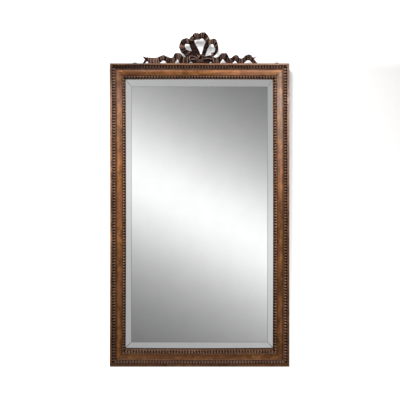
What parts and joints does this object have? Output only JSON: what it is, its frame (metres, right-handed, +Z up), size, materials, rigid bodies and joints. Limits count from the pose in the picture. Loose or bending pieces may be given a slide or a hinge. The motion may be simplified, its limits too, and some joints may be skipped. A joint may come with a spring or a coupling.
{
  "type": "framed wall mirror",
  "caption": "Tall rectangular mirror with a bevelled plate in a carved, beaded wooden frame, a pierced ribbon-bow crest and hanging rings behind.",
  "frame": {"origin": "middle of the footprint of the whole mirror, at the height of the frame's bottom edge", "axes": "+X to the right seen from the front, +Y to the back, towards the wall, +Z up"},
  "size_m": [0.9, 0.0592, 1.6781],
  "materials": {
    "walnut_moulding": "old wax polish, worn to golden brown",
    "walnut_keys": "waxed",
    "outer_beading": "dark old polish with worn tops",
    "inner_beading": "dark old polish with worn tops",
    "carved_crest": "dark old polish, dusty in the grooves",
    "dowel_wood": "bare beech",
    "plate_glass": "polished, with a wide bevel",
    "silvering": "silvered, with backing paint behind",
    "block_wood": "bare softwood",
    "pine_boards": "bare pine, darkened with age",
    "steel_screws": "dull old steel",
    "hanger_brass": "tarnished sheet brass",
    "ring_brass": "brass wire, rubbed bright",
    "brass_screws": "tarnished brass"
  },
  "bodies": {
    "frame": {"top_rail": "walnut_moulding", "bottom_rail": "walnut_moulding", "left_stile": "walnut_moulding", "right_stile": "walnut_moulding", "corner_key_top_left": "walnut_keys", "corner_key_top_right": "walnut_keys", "corner_key_bottom_left": "walnut_keys", "corner_key_bottom_right": "walnut_keys", "outer_beading_top": "outer_beading", "outer_beading_bottom": "outer_beading", "outer_beading_left": "outer_beading", "outer_beading_right": "outer_beading", "inner_beading_top": "inner_beading", "inner_beading_bottom": "inner_beading", "inner_beading_left": "inner_beading", "inner_beading_right": "inner_beading", "crest_bow": "carved_crest", "crest_ribbon_left": "carved_crest", "crest_ribbon_right": "carved_crest", "crest_dowels": "dowel_wood", "mirror_plate": "plate_glass", "silvering": "silvering", "glazing_blocks": "block_wood", "backboard_1": "pine_boards", "backboard_2": "pine_boards", "backboard_3": "pine_boards", "backboard_4": "pine_boards", "backboard_5": "pine_boards", "backboard_6": "pine_boards", "backboard_screws": "steel_screws", "hanger_strap_left": "hanger_brass", "hanger_screws_left": "brass_screws", "hanger_strap_right": "hanger_brass", "hanger_screws_right": "brass_screws"},
    "ring_left": {"hanger_ring_left": "ring_brass"},
    "ring_right": {"hanger_ring_right": "ring_brass"}
  },
  "joints": [
    {"name": "ring_left_swing", "type": "hinge", "parent": "frame", "child": "ring_left", "pos_m": [-0.329, 0.026, 1.516], "axis": [-1, 0, 0], "range_deg": [0, 170]},
    {"name": "ring_right_swing", "type": "hinge", "parent": "frame", "child": "ring_right", "pos_m": [0.399, 0.026, 1.516], "axis": [-1, 0, 0], "range_deg": [0, 170]}
  ]
}
